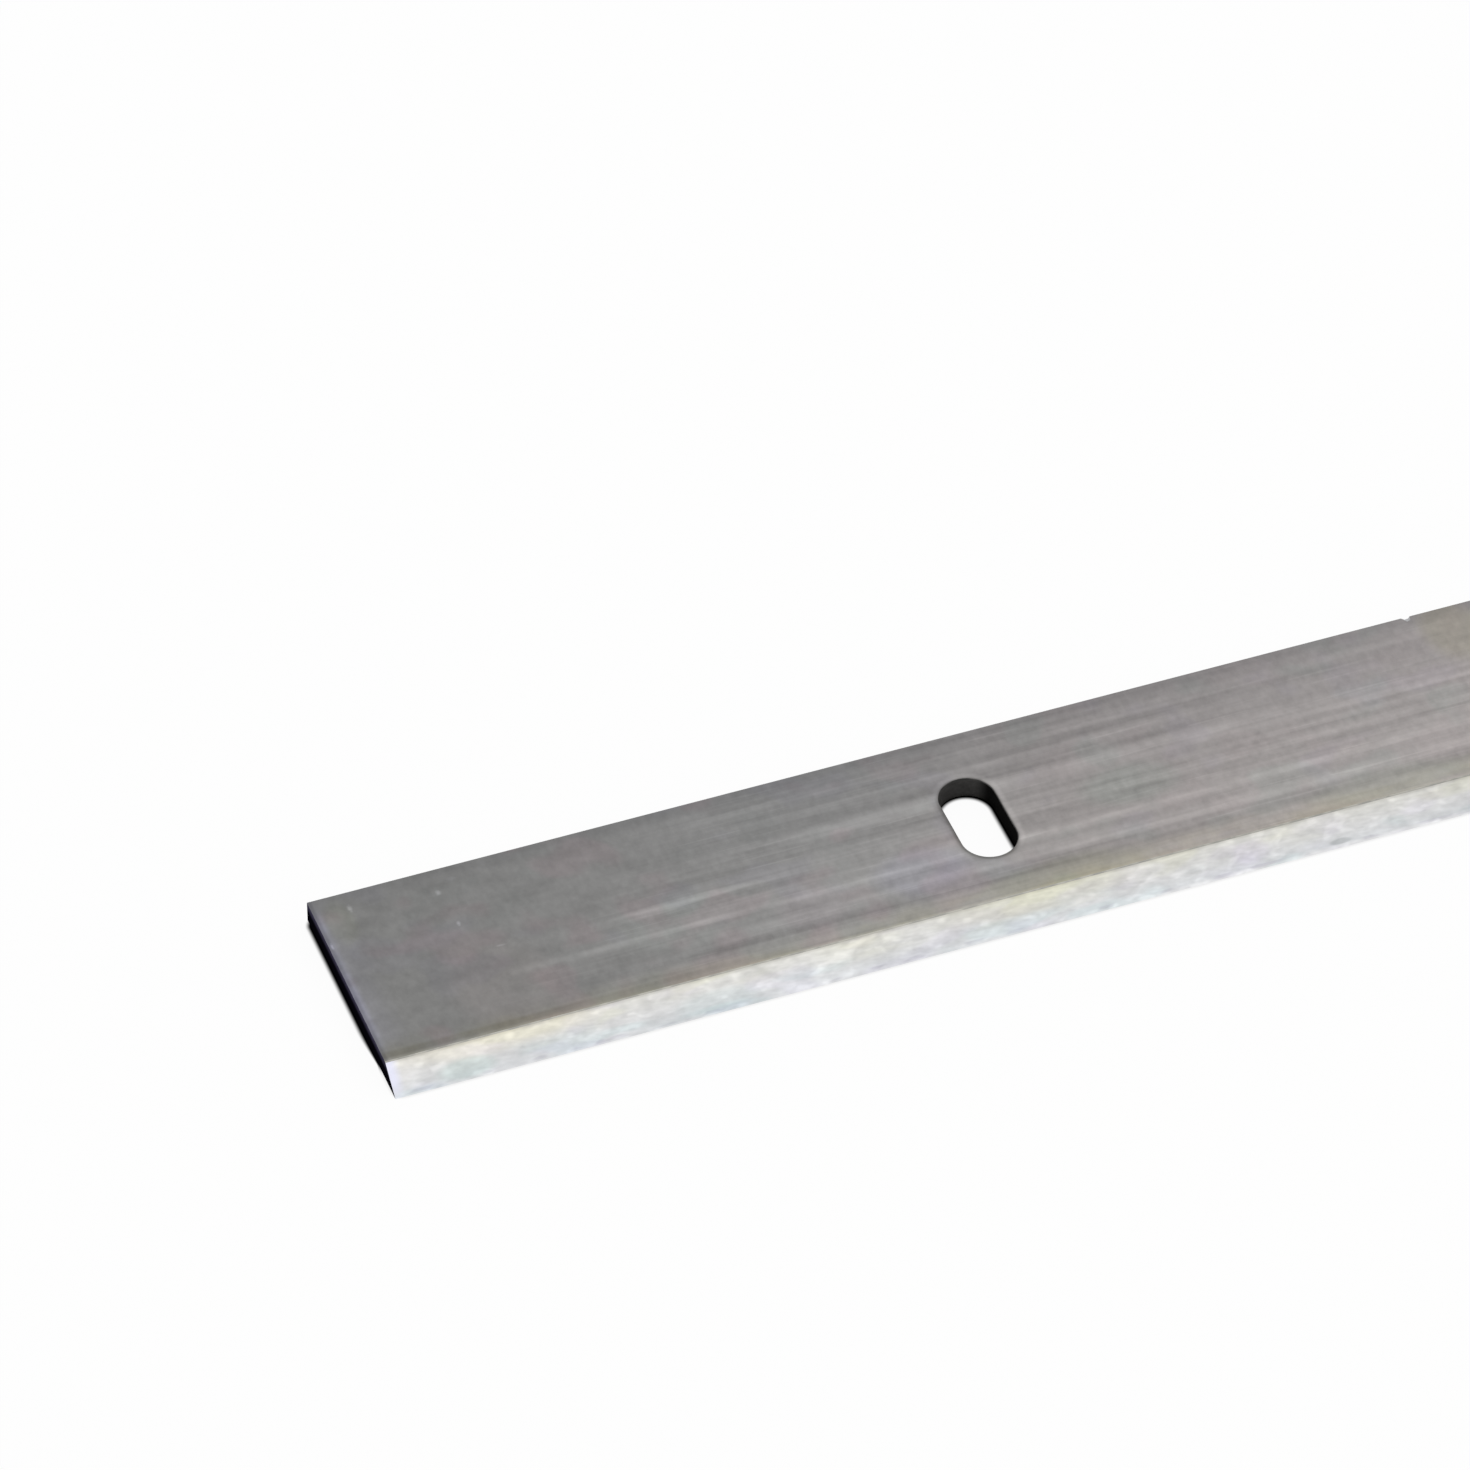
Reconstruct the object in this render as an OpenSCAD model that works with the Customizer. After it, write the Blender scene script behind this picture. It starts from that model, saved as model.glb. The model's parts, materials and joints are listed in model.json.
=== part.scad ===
// Planer knife: a flat strip of tool steel with a cutting bevel ground along one long edge
// and two slots across it, one near each end, for the screws or pins that set its height.
// X runs along the knife, Y across it and Z through its thickness.
// The cutting edge is on the -Y side and lies in the plane of the seat face, at Z = 0.
// The origin is the middle of the seat face.

/* [Blade] */
// Length along the cutting edge
blade_length = 270; // [150:1:410]
// Width from the cutting edge to the back edge
blade_width = 16.5; // [14:0.5:30]
// Thickness between the two ground faces
blade_thickness = 1.5; // [1:0.1:3]

/* [Cutting edge] */
// Angle between the bevel and the seat face, in degrees
bevel_angle = 40; // [30:1:60]

/* [Slots] */
// Width of a slot, along the knife
slot_width = 3.6; // [3:0.1:6]
// Length of a slot across the knife, over its round ends
slot_length = 7.2; // [6.2:0.1:10]
// Distance from the end of the knife to the middle of its slot
slot_from_end = 41.5; // [15:0.5:65]
// Distance from the back edge to the middle of a slot
slot_from_back = 7.5; // [6:0.1:9]

/* [Broken edges] */
// Chamfer that takes the burr off the back edge and the two ends
edge_break = 0.15; // [0.05:0.05:0.4]
// Chamfer round the rim of each slot, on both faces
rim_break = 0.05; // [0.05:0.05:0.4]

/* [Hidden] */
// Sides of the round ends of the slots
arc_sides = 64;
// Cutters run this far past the faces that they cut through
overrun = 1;
steel_colour = [0.62, 0.61, 0.6];

cutting_y = -blade_width / 2;
back_y = blade_width / 2;
end_x = blade_length / 2;
// Width that the bevel takes from the top face
bevel_run = blade_thickness / tan(bevel_angle);
slot_x = end_x - slot_from_end;
slot_y = back_y - slot_from_back;
slot_radius = slot_width / 2;
// Distance from the middle of a slot to the centre of each round end
slot_reach = slot_length / 2 - slot_radius;

// Section across the knife, drawn with Y to the right and Z up.
// The cutting edge comes to a true point, and the back edge has its two corners broken.
module blade_section() {
    polygon([
        [cutting_y, 0],
        [back_y - edge_break, 0],
        [back_y, edge_break],
        [back_y, blade_thickness - edge_break],
        [back_y - edge_break, blade_thickness],
        [cutting_y + bevel_run, blade_thickness]
    ]);
}

// Side view of the blank, drawn with X to the right and Z up.
// The corners of both ends are broken on both faces.
module blank_side() {
    polygon([
        [-end_x + edge_break, 0],
        [end_x - edge_break, 0],
        [end_x, edge_break],
        [end_x, blade_thickness - edge_break],
        [end_x - edge_break, blade_thickness],
        [-end_x + edge_break, blade_thickness],
        [-end_x, blade_thickness - edge_break],
        [-end_x, edge_break]
    ]);
}

// The ground strip before its slots are cut
module ground_strip() {
    intersection() {
        translate([-end_x - overrun, 0, 0])
            rotate([90, 0, 90])
                linear_extrude(height = blade_length + 2 * overrun) blade_section();
        translate([0, back_y + overrun, 0])
            rotate([90, 0, 0])
                linear_extrude(height = blade_width + 2 * overrun) blank_side();
    }
}

// The straight-walled slot, through both faces
module slot_cut() {
    for (side = [-1, 1])
        translate([0, side * slot_reach, -overrun])
            cylinder(r = slot_radius, h = blade_thickness + 2 * overrun, $fn = arc_sides);
    translate([-slot_radius, -slot_reach, -overrun])
        cube([slot_width, 2 * slot_reach, blade_thickness + 2 * overrun]);
}

// Widens a slot at 45 degrees over the last rim_break of its depth.
// The rim lies at Z = 0, and the cutter stands twice as deep, so that it runs out past the face.
module rim_cut() {
    depth = 2 * rim_break;
    for (side = [-1, 1])
        translate([0, side * slot_reach, -rim_break])
            cylinder(r1 = slot_radius, r2 = slot_radius + depth, h = depth, $fn = arc_sides);
    translate([0, slot_reach, -rim_break])
        rotate([90, 0, 0])
            linear_extrude(height = 2 * slot_reach)
                polygon([
                    [-slot_radius, 0],
                    [slot_radius, 0],
                    [slot_radius + depth, depth],
                    [-slot_radius - depth, depth]
                ]);
}

module knife() {
    color(steel_colour)
        difference() {
            ground_strip();
            for (end = [-1, 1])
                translate([end * slot_x, slot_y, 0]) {
                    slot_cut();
                    translate([0, 0, blade_thickness]) rim_cut();
                    mirror([0, 0, 1]) rim_cut();
                }
        }
}

knife();
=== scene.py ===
import json
import math

import bmesh
import bpy
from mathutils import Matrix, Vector


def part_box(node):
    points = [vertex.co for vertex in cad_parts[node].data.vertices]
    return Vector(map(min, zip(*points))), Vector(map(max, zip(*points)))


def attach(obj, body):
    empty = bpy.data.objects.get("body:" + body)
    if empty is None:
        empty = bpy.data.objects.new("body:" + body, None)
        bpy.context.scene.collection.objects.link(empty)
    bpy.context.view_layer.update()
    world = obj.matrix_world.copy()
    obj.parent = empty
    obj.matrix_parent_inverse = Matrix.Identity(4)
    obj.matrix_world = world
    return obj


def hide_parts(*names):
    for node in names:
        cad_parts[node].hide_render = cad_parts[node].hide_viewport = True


# Looks for a planer knife: a strip of ground steel that lies flat on a pale floor.
# X runs along the knife, the cutting edge is on the -Y side, and Z is up.

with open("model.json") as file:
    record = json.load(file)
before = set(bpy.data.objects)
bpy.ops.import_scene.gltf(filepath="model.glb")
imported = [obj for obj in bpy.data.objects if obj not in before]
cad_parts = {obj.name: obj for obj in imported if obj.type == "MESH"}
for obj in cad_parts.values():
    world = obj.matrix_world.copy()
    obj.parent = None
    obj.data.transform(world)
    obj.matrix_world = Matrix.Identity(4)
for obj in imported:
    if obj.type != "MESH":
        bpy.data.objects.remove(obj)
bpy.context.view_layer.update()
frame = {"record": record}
mm = 1000.0   # millimetres in a metre
low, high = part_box("knife")
length = high.x - low.x
width = high.y - low.y
thickness = high.z - low.z
slots = [mount for mount in frame["record"]["mounts"] if mount["kind"] == "bolt_pattern"]
sizes = [round(side * mm, 2) for side in (length, width, thickness)]
print("frame: knife", *sizes, "mm,", len(slots), "slots")


def shade(red, green, blue):
    # a colour as it looks on screen, 0 to 255 each, turned into the linear colour that a shader takes
    linear = []
    for part in (red / 255, green / 255, blue / 255):
        linear.append(part / 12.92 if part <= 0.04045 else ((part + 0.055) / 1.055) ** 2.4)
    return (*linear, 1.0)


class Wire:
    # a socket that can stand in a sum: each operator adds its Math node
    def __init__(self, finish, socket):
        self.finish = finish
        self.socket = socket

    def maths(self, operation, first, second):
        return self.finish.node("ShaderNodeMath", {"operation": operation}, {0: first, 1: second})

    def __add__(self, other):
        return self.maths("ADD", self, other)

    def __radd__(self, other):
        return self.maths("ADD", other, self)

    def __sub__(self, other):
        return self.maths("SUBTRACT", self, other)

    def __rsub__(self, other):
        return self.maths("SUBTRACT", other, self)

    def __mul__(self, other):
        return self.maths("MULTIPLY", self, other)

    def __rmul__(self, other):
        return self.maths("MULTIPLY", other, self)

    def __truediv__(self, other):
        return self.maths("DIVIDE", self, other)

    def __rtruediv__(self, other):
        return self.maths("DIVIDE", other, self)

    def __pow__(self, other):
        return self.maths("POWER", self, other)

    def __rpow__(self, other):
        return self.maths("POWER", other, self)

    def __abs__(self):
        return self.maths("ABSOLUTE", self, 0.0)


class Finish:
    # the nodes of one material or of the world; every node comes from the method node
    def __init__(self, owner):
        self.owner = owner
        owner.use_nodes = True
        self.tree = owner.node_tree
        self.tree.nodes.clear()

    def node(self, kind, settings=None, inputs=None, output=0):
        made = self.tree.nodes.new(kind)
        for name, value in (settings or {}).items():
            if name == "stops":
                while len(made.color_ramp.elements) < len(value):
                    made.color_ramp.elements.new(1.0)
                for element, (position, colour) in zip(made.color_ramp.elements, value):
                    element.position = position
                    element.color = colour
            else:
                setattr(made, name, value)
        for name, value in (inputs or {}).items():
            if isinstance(value, Wire):
                self.tree.links.new(value.socket, made.inputs[name])
            else:
                made.inputs[name].default_value = value
        return Wire(self, made.outputs[output]) if len(made.outputs) else None

    def larger(self, first, second):
        return self.node("ShaderNodeMath", {"operation": "MAXIMUM"}, {0: first, 1: second})

    def fade(self, value, start, end, first=0.0, last=1.0):
        # goes smoothly from first to last as the value goes from start to end
        return self.node("ShaderNodeMapRange", {"interpolation_type": "SMOOTHSTEP"},
                         {"Value": value, "From Min": start, "From Max": end,
                          "To Min": first, "To Max": last})

    def mix(self, factor, first, second, kind="MIX"):
        return self.node("ShaderNodeMix", {"data_type": "RGBA", "blend_type": kind},
                         {0: factor, 6: first, 7: second}, 2)

    def tint(self, colour, factor, times):
        # multiplies the colour by three plain numbers, as far as the factor says
        return self.mix(factor, colour, (*times, 1.0), "MULTIPLY")

    def place(self):
        # object coordinates in millimetres, as three wires
        coords = self.node("ShaderNodeTexCoord", output="Object")
        scaled = self.node("ShaderNodeVectorMath", {"operation": "SCALE"}, {0: coords, "Scale": mm})
        return [self.node("ShaderNodeSeparateXYZ", None, {0: scaled}, axis) for axis in ("X", "Y", "Z")]

    def noise(self, place, cell, detail=1.0, roughness=0.5, seed=0.0):
        # noise about 0.5, with cells of the given size along each axis in millimetres
        parts = {axis: place[axis] / cell[axis] + seed * (axis + 1) for axis in range(3)}
        where = self.node("ShaderNodeCombineXYZ", None, parts)
        return self.node("ShaderNodeTexNoise", None,
                         {"Vector": where, "Scale": 1.0, "Detail": detail, "Roughness": roughness})

    def steel(self, colour, roughness, height, lift, metallic=1.0, specular=0.5):
        # height varies about 0.5, and lift is its size in metres
        bump = self.node("ShaderNodeBump", None, {"Strength": 1.0, "Distance": lift, "Height": height})
        skin = self.node("ShaderNodeBsdfPrincipled", None,
                         {"Base Color": colour, "Roughness": roughness, "Metallic": metallic,
                          "Specular IOR Level": specular, "Normal": bump})
        self.node("ShaderNodeOutputMaterial", None, {"Surface": skin})
        return self.owner


# The knife's shape, in metres

knifeShape = {
    "bevelAngle": 40.0,      # degrees between the bevel and the seat face
    "edgeBreak": 0.00015,    # chamfer on the back edges and on the upper edges of the ends
    "rimBreak": 0.00005,     # chamfer round each slot
    "arrisBreak": 0.00006,   # wear where the bevel meets the top face
    "breakFaces": 2,         # faces across each of these three
    "honeWidth": 0.00012,    # honed land along the cutting edge
    "honeLift": 0.000012,    # how far the land's upper line stands proud of the bevel
    "slotSides": 64,
    "patchReach": 0.006,     # half the length of the patch round a slot
    "rimWidth": 0.0006,      # ring of faces round a slot
    "dentPlace": -0.0612,    # small dent in the back edge
    # lines across the dent: distance from its place, and share of its full size there
    "dentRows": ((-0.0004, 0.0), (-0.00012, 1.0), (0.00012, 0.8), (0.0002, 0.0)),
    "dentReach": 0.0004,     # how far it goes into the top face and down the back edge
    "dentDrop": 0.00018,
    "dentMiddle": 0.6,       # share of both for the points between these two faces
}
bevelRun = thickness / math.tan(math.radians(knifeShape["bevelAngle"]))
arrisY = low.y + bevelRun
slope = Vector((0, bevelRun, thickness)).normalized()
bevelNormal = Vector((0, -slope.z, slope.y))

samePoint = 0.000001    # distance up to which two places count as one
slotReach = 0.00012     # distance from a slot's wall up to which a face belongs to the slot
samePlane = 0.999       # cosine down to which a face counts as lying in a plane
bevelPlane = 0.992      # and in the bevel's, which takes in the honed land
upright = 0.01          # rise of a normal up to which a face counts as upright
finishOrder = ("top", "seat", "bevel", "back", "ends", "slots", "brokenEdges")


def near(first, second, within=samePoint):
    return abs(first - second) < within


def once(parts):
    # each part one time, in the order in which they come; a set's order changes from run to run
    return list(dict.fromkeys(parts))


def cutAcross(bm, place):
    bmesh.ops.bisect_plane(bm, geom=bm.verts[:] + bm.edges[:] + bm.faces[:],
                           plane_co=(place, 0, 0), plane_no=(1, 0, 0))


def slotSize(mount):
    # radius of the round ends, and distance from the slot's middle to the centre of each
    radius = mount["dims"]["hole_r_mm"] / mm
    return radius, mount["dims"]["slot_length_mm"] / mm / 2 - radius


def slotLoop(bm, centre, radius, straight):
    # a circle whose two halves move apart makes the outline of a slot
    verts = bmesh.ops.create_circle(bm, segments=knifeShape["slotSides"], radius=radius)["verts"]
    turn = math.pi / knifeShape["slotSides"]
    for vert in verts:
        angle = math.atan2(vert.co.y, vert.co.x) + turn
        vert.co = (radius * math.cos(angle), radius * math.sin(angle), 0)
    for side in (-1, 1):
        half = [vert for vert in verts if vert.co.y * side > 0]
        bmesh.ops.translate(bm, verts=half, vec=(0, side * straight, 0))
    bmesh.ops.translate(bm, verts=verts, vec=centre)
    return once(edge for vert in verts for edge in vert.link_edges)


def openSlot(bm, mount):
    # the patch of the blank round the slot gives way to a ring of faces and a fill
    radius, straight = slotSize(mount)
    centre = Vector((mount["pos_m"][0], mount["pos_m"][1], 0))
    patch = min(bm.faces, key=lambda face: abs(face.calc_center_median().x - centre.x))
    outline = list(patch.edges)
    bmesh.ops.delete(bm, geom=[patch], context="FACES_ONLY")
    inner = slotLoop(bm, centre, radius, straight)
    outer = slotLoop(bm, centre, radius + knifeShape["rimWidth"], straight)
    bmesh.ops.bridge_loops(bm, edges=inner + outer)
    bmesh.ops.triangle_fill(bm, use_beauty=True, edges=outer + outline)


def onSlotWall(point, within=3 * samePoint):
    for mount in slots:
        radius, straight = slotSize(mount)
        along = max(abs(point.y - mount["pos_m"][1]) - straight, 0)
        if near(math.hypot(point.x - mount["pos_m"][0], along), radius, within):
            return True
    return False


def groundBlank(bm):
    # the flat blank with its slots, then the bevel and the honed land along the cutting edge
    bmesh.ops.create_grid(bm, x_segments=1, y_segments=1, size=0.5)
    bmesh.ops.scale(bm, vec=(length, width, 1), verts=bm.verts)
    for mount in slots:
        cutAcross(bm, mount["pos_m"][0] - knifeShape["patchReach"])
        cutAcross(bm, mount["pos_m"][0] + knifeShape["patchReach"])
    for mount in slots:
        openSlot(bm, mount)
    raised = bmesh.ops.extrude_face_region(bm, geom=bm.faces[:], use_keep_orig=True)
    topVerts = [part for part in raised["geom"] if isinstance(part, bmesh.types.BMVert)]
    bmesh.ops.translate(bm, verts=topVerts, vec=(0, 0, thickness))
    bmesh.ops.recalc_face_normals(bm, faces=bm.faces)
    front = [vert for vert in topVerts if near(vert.co.y, low.y)]
    bmesh.ops.translate(bm, verts=front, vec=(0, bevelRun, 0))
    bm.normal_update()
    bevelFaces = [face for face in bm.faces if face.normal.dot(bevelNormal) > bevelPlane]
    bevelParts = once(part for face in bevelFaces for part in (*face.verts, *face.edges, face))
    line = Vector((0, low.y, 0)) + slope * knifeShape["honeWidth"]
    cut = bmesh.ops.bisect_plane(bm, geom=bevelParts, plane_co=line, plane_no=slope)
    landVerts = [part for part in cut["geom_cut"] if isinstance(part, bmesh.types.BMVert)]
    bmesh.ops.translate(bm, verts=landVerts, vec=bevelNormal * knifeShape["honeLift"])


def breakEdges(bm):
    # each group is looked up after the one before it is cut, because a cut makes new edges
    def onArris(first, second):
        return near(first.z, second.z) and near(first.y, arrisY) and near(second.y, arrisY)

    def onRim(first, second):
        return near(first.z, second.z) and onSlotWall(first) and onSlotWall(second)

    def onOutline(first, second):
        onBack = near(first.y, high.y) and near(second.y, high.y)
        onTop = near(first.z, thickness) and near(second.z, thickness)
        atEnd = near(abs(first.x), high.x) and near(first.x, second.x)
        return (onBack and near(first.z, second.z)) or (atEnd and (onTop or onBack))

    for chosen, offset in ((onArris, "arrisBreak"), (onRim, "rimBreak"), (onOutline, "edgeBreak")):
        edges = [edge for edge in bm.edges if chosen(edge.verts[0].co, edge.verts[1].co)]
        bmesh.ops.bevel(bm, geom=edges, offset=knifeShape[offset], offset_type="OFFSET",
                        segments=knifeShape["breakFaces"], profile=0.5, affect="EDGES", material=-1,
                        clamp_overlap=True)


def dentBackEdge(bm):
    # the broken edge gets wider over a short stretch, inside the top and back planes
    rows = [(knifeShape["dentPlace"] + away, share) for away, share in knifeShape["dentRows"]]
    for row in rows:
        cutAcross(bm, row[0])
    for place, share in rows:
        reach = share * knifeShape["dentReach"]
        drop = share * knifeShape["dentDrop"]
        for vert in bm.verts:
            onBreak = near(vert.co.y, high.y, knifeShape["edgeBreak"] + samePoint)
            if not (onBreak and near(vert.co.x, place) and vert.co.z > thickness / 2):
                continue
            if near(vert.co.z, thickness):
                vert.co.y -= reach
            elif near(vert.co.y, high.y):
                vert.co.z -= drop
            else:
                vert.co.y -= reach * knifeShape["dentMiddle"]
                vert.co.z -= drop * knifeShape["dentMiddle"]


def faceFinish(face):
    # the finish that a face takes; the lower rims of the slots have the scale and painted shade too
    middle = face.calc_center_median()
    if face.normal.z > samePlane:
        return "top"
    if face.normal.z < -samePlane:
        return "seat"
    if face.normal.dot(bevelNormal) > bevelPlane:
        return "bevel"
    if face.normal.y > samePlane:
        return "back"
    if abs(face.normal.x) > samePlane and near(abs(middle.x), high.x):
        return "ends"
    if onSlotWall(middle, slotReach) and (abs(face.normal.z) < upright or middle.z < thickness / 2):
        return "slots"
    return "brokenEdges"


def buildKnife():
    bm = bmesh.new()
    groundBlank(bm)
    breakEdges(bm)
    dentBackEdge(bm)
    bmesh.ops.remove_doubles(bm, verts=bm.verts, dist=1e-7)
    bmesh.ops.recalc_face_normals(bm, faces=bm.faces)
    for face in bm.faces:
        face.material_index = finishOrder.index(faceFinish(face))
        face.smooth = onSlotWall(face.calc_center_median(), slotReach)
    mesh = bpy.data.meshes.new("knifeBlade")
    bm.to_mesh(mesh)
    bm.free()
    piece = bpy.data.objects.new("knifeBlade", mesh)
    bpy.context.scene.collection.objects.link(piece)
    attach(piece, "root")
    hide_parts("knife")
    return piece


knife = buildKnife()
print("knife:", len(knife.data.polygons), "faces")


# The knife's finishes. Colours are as they look on screen, lengths in millimetres

halfLength = length * mm / 2
edgeLine = low.y * mm
arrisLine = arrisY * mm
backLine = high.y * mm
slotMiddle = abs(slots[0]["pos_m"][0]) * mm
slotY = slots[0]["pos_m"][1] * mm
slotRadius, slotStraight = [size * mm for size in slotSize(slots[0])]

topLook = {
    "endTone": (121, 121, 120),       # near the two ends, darker there in part as painted shade
    "middleTone": (142, 141, 140),    # from toneReach inwards
    "toneReach": 50.0,
    "warmth": (1.035, 0.985, 0.98),   # tint of the middle of the knife
    # faint patches of pink, green and violet
    "hues": ((1.045, 0.975, 0.995), (0.96, 1.0, 0.99), (0.985, 0.98, 1.03)),
    "lines": (0.21, 0.28, 0.24),      # strength of the fine, middle and wide grinding lines
    "lineStart": (4.0, 16.0),         # distance from the end over which the lines set in
    # lines that run on along the knife: place across it, half width, strength, and the distances
    # from the end where they set in and where they weaken
    "runs": (
        (7.05, 0.5, -0.05, 22.0, 70.0), (6.35, 0.6, 0.07, 20.0, 70.0), (5.6, 0.5, -0.09, 22.0, 64.0),
        (4.9, 0.65, 0.08, 24.0, 66.0), (3.9, 0.7, -0.12, 22.0, 54.0), (2.85, 0.95, 0.155, 27.0, 58.0),
        (2.15, 0.5, 0.12, 56.0, 135.0), (1.65, 0.55, -0.065, 10.0, 38.0),
        (0.85, 0.45, -0.06, 42.0, 135.0), (0.2, 0.45, 0.11, 10.0, 64.0), (-0.3, 0.5, -0.16, 20.0, 135.0),
        (-0.95, 0.4, 0.09, 18.0, 34.0), (-1.9, 0.5, 0.17, 7.0, 135.0), (-2.7, 0.6, -0.05, 12.0, 135.0),
        (-3.55, 0.75, 0.11, 18.0, 135.0), (-4.6, 1.1, -0.12, 16.0, 135.0), (-5.85, 0.6, 0.09, 18.0, 135.0)),
    "runReach": 8.0,                  # distance over which such a line sets in or weakens
    "runRest": 0.25,                  # what is left of it then
    "calm": 0.4,                      # how much weaker all lines are along the back of the middle
    "mottle": 0.34,
    "dashes": 0.12,
    "roughness": 0.4,
    "lineDepth": 0.000005,            # in metres
    # tints behind the bevel: brown band, worn lip with a painted highlight, and the dull line between them
    "band": (1.03, 1.01, 0.895),
    "lipWearAndHighlight": (1.25, 1.24, 1.2),
    "dull": (0.87, 0.86, 0.82),
    # tints of the back half and of the strip along the back edge
    "backHalf": (0.79, 0.8, 0.81),
    "backStrip": (0.88, 0.88, 0.89),
    # tints along the ends: painted highlight as a wide glow and a strip, and painted shade on the rounded
    # edge
    "endGlow": (1.11, 1.11, 1.18),
    "endStrip": (1.2, 1.2, 1.36),
    "endEdge": (0.72, 0.72, 0.74),
    # tints of the ring and the rim round a slot, first where its dark walls show and then opposite: the
    # ring is painted highlight on the first side and painted shade on the other, and the rim is painted
    # shade
    "slotRing": ((1.18, 1.18, 1.18), (0.88, 0.88, 0.88)),
    "slotRim": ((0.55, 0.55, 0.54), (0.5, 0.5, 0.48)),
    # small pale nicks near the left end: x, y, half length, half width, brightness
    "nicks": (
        (-132.7, 6.85, 0.22, 0.42, 1.6), (-127.15, 6.2, 0.24, 0.3, 1.5), (-126.85, 3.27, 0.2, 0.3, 1.5),
        (-126.0, 7.1, 0.45, 0.3, 1.15), (-134.8, 4.0, 0.14, 0.4, 1.6), (-125.1, 0.55, 0.5, 0.14, 1.25)),
    # marks left by oil: x, y, half length, half width, tint
    "oilMarks": (
        (-90.0, -5.8, 7.0, 1.9, (0.94, 0.96, 0.89)), (-98.5, -2.4, 4.0, 2.4, (0.98, 0.985, 1.06)),
        (-83.5, 0.3, 4.2, 2.2, (0.935, 1.0, 0.975)), (-58.9, 6.4, 2.6, 3.8, (1.03, 1.02, 0.92)),
        (-126.0, -2.8, 4.2, 5.0, (1.03, 0.995, 0.99)), (-106.0, -3.2, 2.8, 2.8, (1.03, 0.995, 1.015)),
        (-61.5, -5.5, 5.0, 1.2, (0.93, 0.945, 0.92)), (-133.6, 5.8, 1.2, 2.4, (1.03, 1.04, 0.97)),
        (-68.0, -5.3, 6.5, 1.6, (0.985, 1.03, 0.99))),
    # rubbed and dull streaks, in the same way
    "streaks": (
        (-113.0, 0.25, 5.5, 0.4, (1.2, 1.2, 1.2)), (-103.0, -2.2, 7.5, 0.5, (1.1, 1.1, 1.1)),
        (-98.0, 6.2, 11.0, 0.55, (0.93, 0.93, 0.93)), (-98.0, 4.4, 11.0, 0.8, (0.93, 0.93, 0.93)),
        (-109.0, -4.9, 11.0, 1.8, (1.06, 1.06, 1.06)), (-87.0, -2.2, 9.0, 4.6, (0.965, 0.965, 0.965)),
        (-114.0, -1.5, 5.5, 2.8, (1.075, 1.1, 1.09)), (-94.5, -1.5, 5.0, 1.2, (1.12, 1.12, 1.12)),
        (-110.5, 2.4, 4.5, 0.7, (1.08, 1.08, 1.08)), (-88.0, 4.8, 5.0, 2.4, (0.94, 0.94, 0.94))),
}
seatLook = dict(topLook, endTone=(128, 127, 125), middleTone=(138, 137, 135),
                lines=(0.36, 0.5, 0.3), runs=(), calm=0.0)
backLook = dict(topLook, endTone=(104, 103, 102), middleTone=(116, 114, 112),
                lines=(0.4, 0.3, 0.5), runs=(), calm=0.0)


def grindingLines(finish, place, look):
    # lines along the knife; near the ends they give way to a fine mottle
    x, y = place[:2]
    inward = halfLength - abs(x)
    fine = finish.noise(place, (9.0, 0.22, 0.22), 1.0)
    middle = finish.noise(place, (26.0, 0.5, 0.5), 1.0, seed=4.0)
    wide = finish.noise(place, (90.0, 1.4, 1.4), 1.0, seed=9.0)
    dash = finish.fade(finish.noise(place, (8.0, 0.3, 0.3), seed=17.0), 0.62, 0.76)
    fineShare, middleShare, wideShare = look["lines"]
    lines = (fine - 0.5) * fineShare + (middle - 0.5) * middleShare + (wide - 0.5) * wideShare
    start, full = look["lineStart"]
    setIn = finish.fade(inward - (y - arrisLine), start, full, 0.12, 1.0)
    lines = (lines + dash * look["dashes"]) * setIn
    waver = finish.noise(place, (3.5, 1.0, 1.0), 1.0, seed=21.0) * 2.6 - 0.3
    for across, half, strength, start, end in look["runs"]:
        run = finish.fade(abs(y - across), 0.0, half, strength, 0.0)
        begun = finish.fade(inward, start, start + look["runReach"])
        left = finish.fade(inward, end, end + look["runReach"], 1.0, look["runRest"])
        lines = lines + run * waver * (begun * left)
    lines = lines * (1.0 - finish.fade(inward, 46.0, 62.0) * finish.fade(y, 2.8, 4.8) * look["calm"])
    mottle = finish.noise(place, (0.45, 0.6, 0.6), 2.0, 0.5, 13.0)
    blotch = finish.noise(place, (3.0, 1.6, 1.6), 1.0, 0.5, 23.0)
    blotches = (blotch - 0.5) * finish.fade(inward, 14.0, 34.0, 1.1, 0.5)
    return fine, lines + ((mottle - 0.5) + blotches) * look["mottle"]


def groundColour(finish, place, look, streak):
    inward = halfLength - abs(place[0])
    # the tone rises from the ends to the middle; the darker ends are in part painted shade for the dimmer
    # reflection there
    tone = finish.fade(inward, 0.0, look["toneReach"])
    colour = finish.mix(tone, shade(*look["endTone"]), shade(*look["middleTone"]))
    colour = finish.mix(1.0, colour, 1.0 + streak, "MULTIPLY")
    colour = finish.tint(colour, finish.fade(inward, 32.0, 50.0), look["warmth"])
    # the pink patches lie near the ends, the green ones towards the middle and the violet ones all over
    nearEnd = finish.fade(inward, 30.0, 50.0, 1.0, 0.2)
    shares = (nearEnd, 1.2 - nearEnd, 0.6)
    for seed, share, times in zip((2.0, 5.0, 7.0), shares, look["hues"]):
        patch = finish.noise(place, (4.4, 3.6, 3.6), 1.0, 0.5, seed)
        colour = finish.tint(colour, finish.fade(patch, 0.55, 0.66) * share, times)
    return colour


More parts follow.
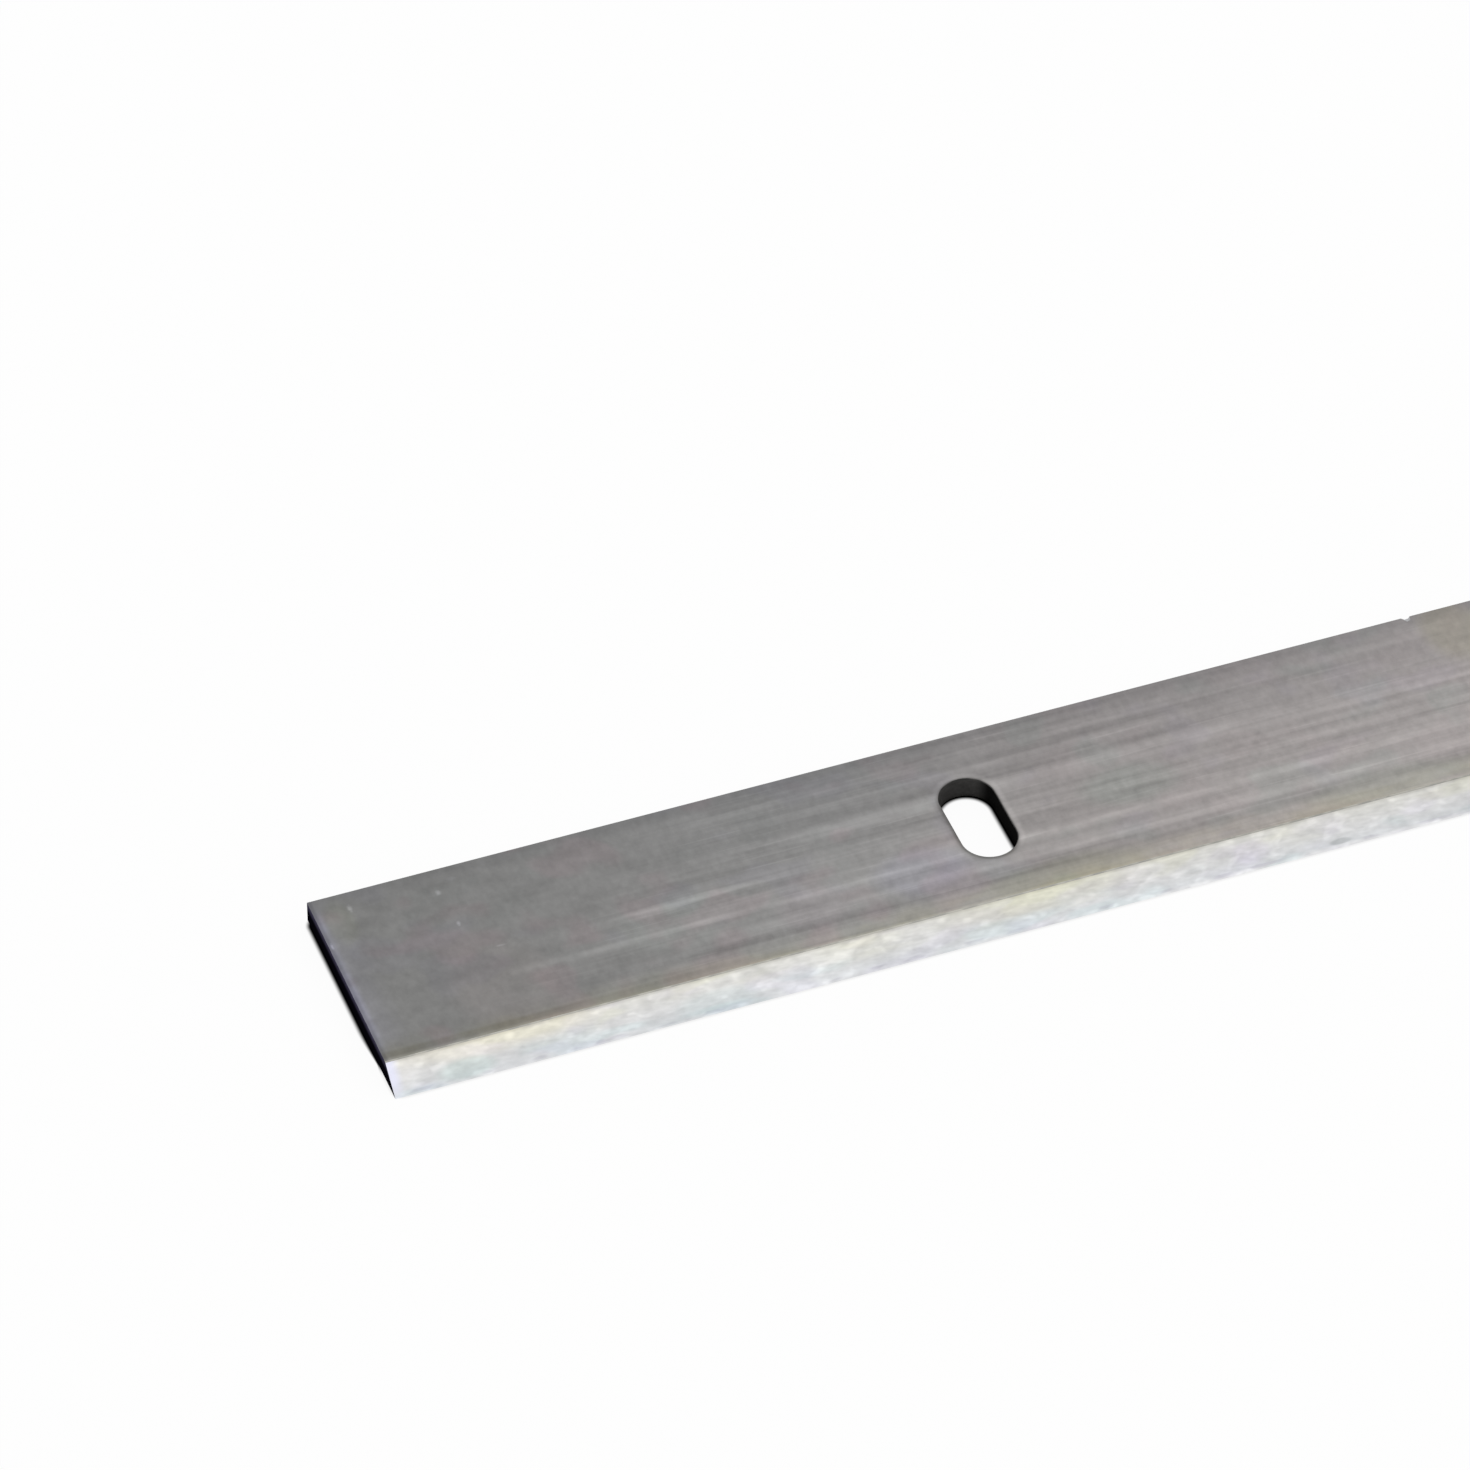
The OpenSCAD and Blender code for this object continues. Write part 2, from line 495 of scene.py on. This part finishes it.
def slotGap(finish, x, y):
    # distance from the rim of the nearer slot
    across = abs(x) - slotMiddle
    along = finish.larger(abs(y - slotY) - slotStraight, 0.0)
    return (across ** 2.0 + along ** 2.0) ** 0.5 - slotRadius


def markGap(first, second, halfFirst, halfSecond):
    # 0 in the middle of an oval mark and 1 at its edge
    return ((first / halfFirst) ** 2.0 + (second / halfSecond) ** 2.0) ** 0.5


def topFinish():
    finish = Finish(bpy.data.materials.new("groundTopFace"))
    place = finish.place()
    x, y = place[:2]
    inward = halfLength - abs(x)
    behind = y - arrisLine
    fine, streak = grindingLines(finish, place, topLook)
    colour = groundColour(finish, place, topLook, streak)
    cloud = finish.noise(place, (5.0, 2.0, 2.0), 2.0, 0.6, 11.0)

    # brown band, worn lip with a painted highlight, and dull line behind the bevel
    band = finish.fade(behind, 0.1, 2.2, 1.0, 0.0) * finish.fade(cloud, 0.35, 0.6, 0.4, 1.0)
    colour = finish.tint(colour, band, topLook["band"])
    lipWearAndHighlight = finish.fade(behind, 0.05, 0.35, 1.0, 0.0) * finish.fade(inward, 30.0, 60.0, 1.0, 0.4)
    colour = finish.tint(colour, lipWearAndHighlight, topLook["lipWearAndHighlight"])
    dull = finish.fade(abs(behind - 0.5), 0.1, 0.4, 1.0, 0.0) * finish.fade(inward, 6.0, 20.0, 1.0, 0.0)
    colour = finish.tint(colour, dull, topLook["dull"])

    # dark back half and a strip along the back edge
    dark = finish.fade(backLine - y, 0.0, 10.0, 1.0, 0.0) * finish.fade(inward, 8.0, 38.0, 0.2, 1.0)
    dark = dark * finish.fade(inward, 56.0, 72.0, 1.0, 0.8)
    colour = finish.tint(colour, dark, topLook["backHalf"])
    strip = finish.fade(backLine - y, 0.1, 1.5, 1.0, 0.0) * finish.fade(inward, 2.0, 10.0, 0.5, 1.0)
    colour = finish.tint(colour, strip, topLook["backStrip"])

    for markX, markY, halfLong, halfWide, times in topLook["oilMarks"] + topLook["streaks"]:
        away = markGap(x - markX, y - markY, halfLong, halfWide)
        colour = finish.tint(colour, finish.fade(away, 0.5, 1.0, 1.0, 0.0), times)

    # painted light along the ends: a cool pale highlight, and painted shade where their edge is rounded
    share = finish.fade(abs(y - 0.8), 4.5, 7.2, 1.0, 0.3)
    colour = finish.tint(colour, share * finish.fade(inward, 0.3, 2.6, 1.0, 0.0), topLook["endGlow"])
    strip = share * finish.fade(inward, 0.15, 0.7, 1.0, 0.0) * finish.fade(cloud, 0.38, 0.6, 0.5, 1.0)
    colour = finish.tint(colour, strip, topLook["endStrip"])
    colour = finish.tint(colour, finish.fade(inward, 0.1, 0.35, 1.0, 0.0), topLook["endEdge"])

    # painted light round the slots: a highlight ring beside the walls that show from the left end, a darker
    # ring opposite, and painted shade on the rim; walled is 1 beside those walls
    gap = slotGap(finish, x, y)
    walled = finish.fade((y - slotY) * 0.6 - (abs(x) - slotMiddle), -1.5, 1.0)
    ring = finish.fade(abs(gap - 0.27), 0.03, 0.32, 1.0, 0.0)
    colour = finish.tint(colour, ring * walled, topLook["slotRing"][0])
    colour = finish.tint(colour, ring * (1.0 - walled), topLook["slotRing"][1])
    colour = finish.tint(colour, walled * finish.fade(gap, 0.0, 0.2, 1.0, 0.0), topLook["slotRim"][0])
    rim = finish.fade(gap, 0.05, 0.34, 1.0, 0.0)
    colour = finish.tint(colour, (1.0 - walled) * rim, topLook["slotRim"][1])

    ragged = 0.4 + finish.noise(place, (0.3, 0.2, 0.2), 1.0, 0.5, 15.0) * 1.2
    for nickX, nickY, halfLong, halfWide, bright in topLook["nicks"]:
        away = markGap(x - nickX, y - nickY, halfLong, halfWide) * ragged
        times = (bright, bright, bright * 1.02)
        colour = finish.tint(colour, finish.fade(away, 0.1, 1.0, 1.0, 0.0), times)
    return finish.steel(colour, topLook["roughness"] + (fine - 0.5) * 0.2, fine, topLook["lineDepth"])


def plainGround(name, look):
    finish = Finish(bpy.data.materials.new(name))
    place = finish.place()
    fine, streak = grindingLines(finish, place, look)
    colour = groundColour(finish, place, look, streak)
    return finish.steel(colour, look["roughness"] + (fine - 0.5) * 0.2, fine, look["lineDepth"])


# The bevel's pale tones are in part painted light: besides the fresher grinding, they stand in for the
# bright front light that the bevel faces.
bevelLook = {
    # share of the way up from the cutting edge to the arris, and the tone there
    "tones": ((0.0, (223, 224, 226)), (0.14, (218, 220, 222)), (0.45, (221, 221, 221)),
              (0.9, (223, 222, 217)), (1.0, (192, 190, 183))),
    "mottle": 0.5,
    "flecks": 0.14,
    # patches of yellow, green and violet
    "hues": ((1.02, 1.02, 0.96), (0.95, 1.0, 1.0), (0.995, 0.98, 1.03)),
    # stains: x, share of the way up, half length, half of their share of the height, tint
    "stains": (
        (-128.0, 0.9, 7.0, 0.5, (1.07, 1.045, 0.99)), (-104.5, 0.8, 3.5, 0.6, (1.0, 1.0, 0.97)),
        (-92.5, 0.8, 8.0, 0.6, (0.99, 0.99, 0.92)), (-130.2, 0.3, 2.4, 0.35, (0.9, 0.97, 0.95)),
        (-114.0, 0.3, 3.5, 0.4, (0.96, 1.0, 1.0)), (-78.5, 0.5, 1.6, 0.4, (1.02, 1.0, 1.05)),
        (-72.65, 0.17, 0.95, 0.1, (0.77, 0.78, 0.78))),
    "endGlow": (1.15, 1.14, 1.14),    # tint of the pale ends, a painted highlight
    "endStrip": (234, 235, 254),      # tone of the painted highlight strip along the very end
    "greyLine": (0.87, 0.86, 0.89),   # tint of the broken line above the honed land
    "brightEdge": (1.16, 1.15, 1.14),
    "roughness": 0.38,
    "lineDepth": 0.000008,            # in metres
}


def bevelFinish():
    finish = Finish(bpy.data.materials.new("groundBevel"))
    place = finish.place()
    x, y, z = place
    inward = halfLength - abs(x)
    up = (y - edgeLine) / (arrisLine - edgeLine)
    stops = [(position, shade(*tone)) for position, tone in bevelLook["tones"]]
    ramp = finish.node("ShaderNodeValToRGB", {"stops": stops}, {"Fac": up})
    mottle = finish.noise(place, (1.2, 0.6, 0.6), 2.0, 0.6, 3.0)
    broad = finish.noise(place, (5.0, 1.4, 1.4), 1.0, 0.5, 14.0)
    grain = finish.noise((x + y * 2.0, y, z), (0.9, 0.22, 0.22), 1.0, 0.5, 6.0)
    fleck = finish.fade(finish.noise(place, (1.2, 0.7, 0.7), 1.0, 0.5, 19.0), 0.54, 0.72)
    spread = (mottle - 0.5) * bevelLook["mottle"] + fleck * bevelLook["flecks"] + (broad - 0.5) * 0.25
    spread = spread + (grain - 0.5) * finish.fade(inward, 3.0, 14.0, 0.07, 0.2)
    # painted shade: darker towards the middle, against the brighter reflection there
    spread = spread - finish.fade(inward, 38.0, 70.0, 0.0, 0.08)
    colour = finish.mix(1.0, ramp, 0.98 + spread, "MULTIPLY")

    # the yellow patches lie above, the green ones below and the violet ones all over
    upper = finish.fade(up, 0.25, 0.75)
    shares = (upper, 1.0 - upper, 0.7)
    for seed, share, times in zip((1.0, 4.0, 8.0), shares, bevelLook["hues"]):
        patch = finish.noise(place, (5.0, 1.4, 1.4), 1.0, 0.5, seed)
        colour = finish.tint(colour, finish.fade(patch, 0.5, 0.62) * share, times)
    for stainX, stainUp, halfLong, halfUp, times in bevelLook["stains"]:
        away = markGap(x - stainX, up - stainUp, halfLong, halfUp)
        colour = finish.tint(colour, finish.fade(away, 0.5, 1.0, 1.0, 0.0), times)

    # painted highlight on the ends with a cool strip, a broken grey line above the honed land, and a bright
    # cutting edge
    pale = finish.fade(inward, 0.9, 2.4, 1.0, 0.0) * finish.fade(up, 0.0, 0.9, 0.1, 1.0)
    colour = finish.tint(colour, pale, bevelLook["endGlow"])
    strip = finish.fade(inward, 0.2, 0.9, 1.0, 0.0) * finish.fade(up, 0.0, 0.5, 0.3, 0.85)
    colour = finish.mix(strip, colour, shade(*bevelLook["endStrip"]))
    dashes = finish.noise(place, (2.4, 1.0, 1.0), 2.0, 0.6, 12.0)
    line = finish.fade(abs(up - 0.08), 0.02, 0.06, 1.0, 0.0) * finish.fade(dashes, 0.48, 0.6)
    colour = finish.tint(colour, line, bevelLook["greyLine"])
    bright = finish.fade(up, 0.03, 0.12, 1.0, 0.0) * finish.fade(inward, 38.0, 60.0)
    colour = finish.tint(colour, bright, bevelLook["brightEdge"])
    roughness = bevelLook["roughness"] + (mottle - 0.5) * 0.2
    return finish.steel(colour, roughness, grain, bevelLook["lineDepth"])


# tones of the dark scale, in part painted shade
scaleAndShadeLook = {
    "ends": (9, 8, 14),
    "slots": (72, 71, 70),
    "endEdgeHighlight": 16.0,          # painted highlight: how many times brighter the scale is along the upper edge of an end
    "slotShade": 0.12,        # what is left of its brightness on a slot's side towards the knife's middle
    "roughness": 0.6,
    "crustHeight": 0.00001,   # in metres
}


def scaleAndShadeFinish(name, tone, wearAndHighlight=None, shaded=None):
    # dark scale from hardening, left on the ends and inside the slots, made near-black and without gloss in
    # part as painted shade
    finish = Finish(bpy.data.materials.new(name))
    place = finish.place()
    crust = finish.noise(place, (0.5, 0.5, 0.3), 3.0, 0.6, 2.0)
    depth = 0.6 + crust * 0.8
    if shaded:
        side = (abs(place[0]) - slotMiddle) / slotRadius
        depth = depth * finish.fade(side, -0.95, -0.6, shaded, 1.0)
    # painted highlight along the rounded upper edge of an end
    if wearAndHighlight:
        depth = depth * finish.fade(thickness * mm - place[2], 0.15, 0.7, wearAndHighlight, 1.0)
    colour = finish.mix(1.0, shade(*tone), depth, "MULTIPLY")
    roughness = scaleAndShadeLook["roughness"] + crust * 0.2
    return finish.steel(colour, roughness, crust, scaleAndShadeLook["crustHeight"], metallic=0.0, specular=0.0)


edgeLook = {
    "rims": ((50, 50, 49), (78, 77, 76)),         # the two tones that the wear runs between
    "back": ((84, 84, 83), (116, 115, 114)),
    "ends": ((84, 84, 94), (124, 124, 137)),
    "arris": ((159, 158, 152), (182, 180, 172)),
    "arrisMiddle": (0.86, 0.86, 0.86),            # tint of the arris away from the ends
    "dent": (176, 176, 178),                      # bare metal in the dent
    "roughness": 0.4,
    "wearDepth": 0.000005,                        # in metres
}


def brokenEdgeFinish():
    finish = Finish(bpy.data.materials.new("brokenEdges"))
    place = finish.place()
    x, y = place[:2]
    inward = halfLength - abs(x)
    rub = finish.noise(place, (1.2, 0.8, 0.8), 2.0, 0.6, 5.0)
    wearAndHighlight = finish.fade(rub, 0.38, 0.62)
    rims, back, ends, arris = [finish.mix(wearAndHighlight, shade(*edgeLook[name][0]), shade(*edgeLook[name][1]))
                               for name in ("rims", "back", "ends", "arris")]
    atBack = finish.fade(backLine - y, 0.8, 1.2, 1.0, 0.0)
    colour = finish.mix(atBack, rims, back)
    colour = finish.mix(finish.fade(inward, 0.2, 0.4, 1.0, 0.0), colour, ends)
    arris = finish.tint(arris, finish.fade(inward, 35.0, 60.0), edgeLook["arrisMiddle"])
    colour = finish.mix(finish.fade(abs(y - arrisLine), 0.1, 0.2, 1.0, 0.0), colour, arris)
    dent = finish.fade(abs(x - knifeShape["dentPlace"] * mm), 0.2, 0.4, 1.0, 0.0)
    colour = finish.mix(dent * atBack, colour, shade(*edgeLook["dent"]))
    return finish.steel(colour, edgeLook["roughness"] + rub * 0.1, rub, edgeLook["wearDepth"])


finishes = {
    "top": topFinish(),
    "seat": plainGround("groundSeatFace", seatLook),
    "bevel": bevelFinish(),
    "back": plainGround("groundBackEdge", backLook),
    "ends": scaleAndShadeFinish("endScaleAndShade", scaleAndShadeLook["ends"], wearAndHighlight=scaleAndShadeLook["endEdgeHighlight"]),
    "slots": scaleAndShadeFinish("slotScaleAndShade", scaleAndShadeLook["slots"], shaded=scaleAndShadeLook["slotShade"]),
    "brokenEdges": brokenEdgeFinish(),
}
for part in finishOrder:
    knife.data.materials.append(finishes[part])
print("knife:", len(knife.data.materials), "finishes")


# Floor, light and camera

studio = {
    "skyLevel": 0.75,              # on matt surfaces; the camera and reflections see white
    "floorTone": (250, 250, 249),
    "floorGlow": 0.95,             # how much of the seen floor is plain white
    "floorReach": 4.0,             # half its width, in metres
    "floorDrop": 0.00002,          # how far it lies below the seat face, in metres
    "contactTone": (10, 10, 14),   # painted contact shadow where the knife meets the floor, its sizes in millimetres
    "contactShift": (0.05, 0.04),  # away from the lamp
    "contactBlur": 0.32,
    "contactReach": 4.5,           # the line sets in over this distance behind the arris
    "contactCorner": 0.7,          # radius of its corners
    "contactFaint": 0.88,          # brightness of the soft line beside the bevel
    "lampTurn": 128.0,             # direction of the lamp in degrees, from -Y towards +X
    "lampRise": 38.0,              # and up from the floor
    "lampDistance": 2.0,           # in metres, as is its size
    "lampSize": 1.2,
    "lampBrightness": 1.6,
    "cameraPlace": (-0.25834, -0.391639, 0.411134),
    "cameraTurn": (46.5717, -0.0896, -20.6658),
    "cameraLens": 232.653,
    "cameraSensor": 36.0,
}


def addFloor():
    bm = bmesh.new()
    bmesh.ops.create_grid(bm, x_segments=1, y_segments=1, size=studio["floorReach"])
    bmesh.ops.translate(bm, verts=bm.verts, vec=(0, 0, -studio["floorDrop"]))
    mesh = bpy.data.meshes.new("floor")
    bm.to_mesh(mesh)
    bm.free()
    floor = bpy.data.objects.new("floor", mesh)
    bpy.context.scene.collection.objects.link(floor)
    finish = Finish(bpy.data.materials.new("paleFloor"))
    contact = paintedContactShadow(finish)
    floorColour = finish.mix(contact, shade(*studio["contactTone"]), shade(*studio["floorTone"]))
    matt = finish.node("ShaderNodeBsdfDiffuse", None, {"Color": floorColour})
    glow = finish.node("ShaderNodeEmission", None, {"Color": (1, 1, 1, 1), "Strength": contact})
    seen = seenRays(finish) * studio["floorGlow"]
    both = finish.node("ShaderNodeMixShader", None, {0: seen, 1: matt, 2: glow})
    finish.node("ShaderNodeOutputMaterial", None, {"Surface": both})
    mesh.materials.append(finish.owner)


def paintedContactShadow(finish):
    # painted contact shadow on the floor: 0 on the dark line and 1 away from it; beside the bevel the line
    # gives way to a faint soft one
    x, y = finish.place()[:2]
    rise = finish.fade(y - arrisLine, 0.0, studio["contactReach"])
    x = x + rise * studio["contactShift"][0]
    y = y + rise * studio["contactShift"][1]
    corner = studio["contactCorner"]
    besideX = finish.larger(abs(x) - (halfLength - corner), 0.0)
    besideY = finish.larger(abs(y) - (backLine - corner), 0.0)
    outside = (besideX ** 2.0 + besideY ** 2.0) ** 0.5 - corner
    gap = finish.larger(outside, 0.0 - slotGap(finish, x, y))
    soft = finish.fade(rise, 0.0, 0.25, 1.0, 0.0)
    reach = 0.02 + rise * studio["contactBlur"] + soft * 0.2
    return finish.fade(gap, 0.0, reach, soft * studio["contactFaint"], 1.0)


def seenRays(finish):
    # 1 for the camera's rays and for those that gloss or glass sends on
    rays = [finish.node("ShaderNodeLightPath", output=name)
            for name in ("Is Camera Ray", "Is Glossy Ray", "Is Transmission Ray")]
    return finish.node("ShaderNodeClamp", None, {"Value": rays[0] + rays[1] + rays[2]})


def addSky():
    world = bpy.data.worlds.new("paleStudio")
    bpy.context.scene.world = world
    finish = Finish(world)
    level = studio["skyLevel"] + seenRays(finish) * (1.0 - studio["skyLevel"])
    sky = finish.node("ShaderNodeBackground", None, {"Color": (1, 1, 1, 1), "Strength": level})
    finish.node("ShaderNodeOutputWorld", None, {"Surface": sky})


def addLamp():
    turn = math.radians(studio["lampTurn"])
    rise = math.radians(studio["lampRise"])
    towards = Vector((math.sin(turn) * math.cos(rise), -math.cos(turn) * math.cos(rise), math.sin(rise)))
    data = bpy.data.lights.new("backPanel", "AREA")
    data.size = studio["lampSize"]
    data.energy = studio["lampBrightness"] * math.pi * studio["lampSize"] ** 2
    lamp = bpy.data.objects.new("backPanel", data)
    lamp.location = towards * studio["lampDistance"]
    lamp.rotation_euler = towards.to_track_quat("Z", "Y").to_euler()
    bpy.context.scene.collection.objects.link(lamp)


def addCamera():
    data = bpy.data.cameras.new("photoView")
    data.sensor_width = studio["cameraSensor"]
    data.lens = studio["cameraLens"]
    camera = bpy.data.objects.new("photoView", data)
    camera.location = studio["cameraPlace"]
    camera.rotation_euler = [math.radians(angle) for angle in studio["cameraTurn"]]
    bpy.context.scene.collection.objects.link(camera)
    bpy.context.scene.camera = camera


addFloor()
addSky()
addLamp()
addCamera()
bpy.context.scene.view_settings.view_transform = "Standard"
print("studio ready")
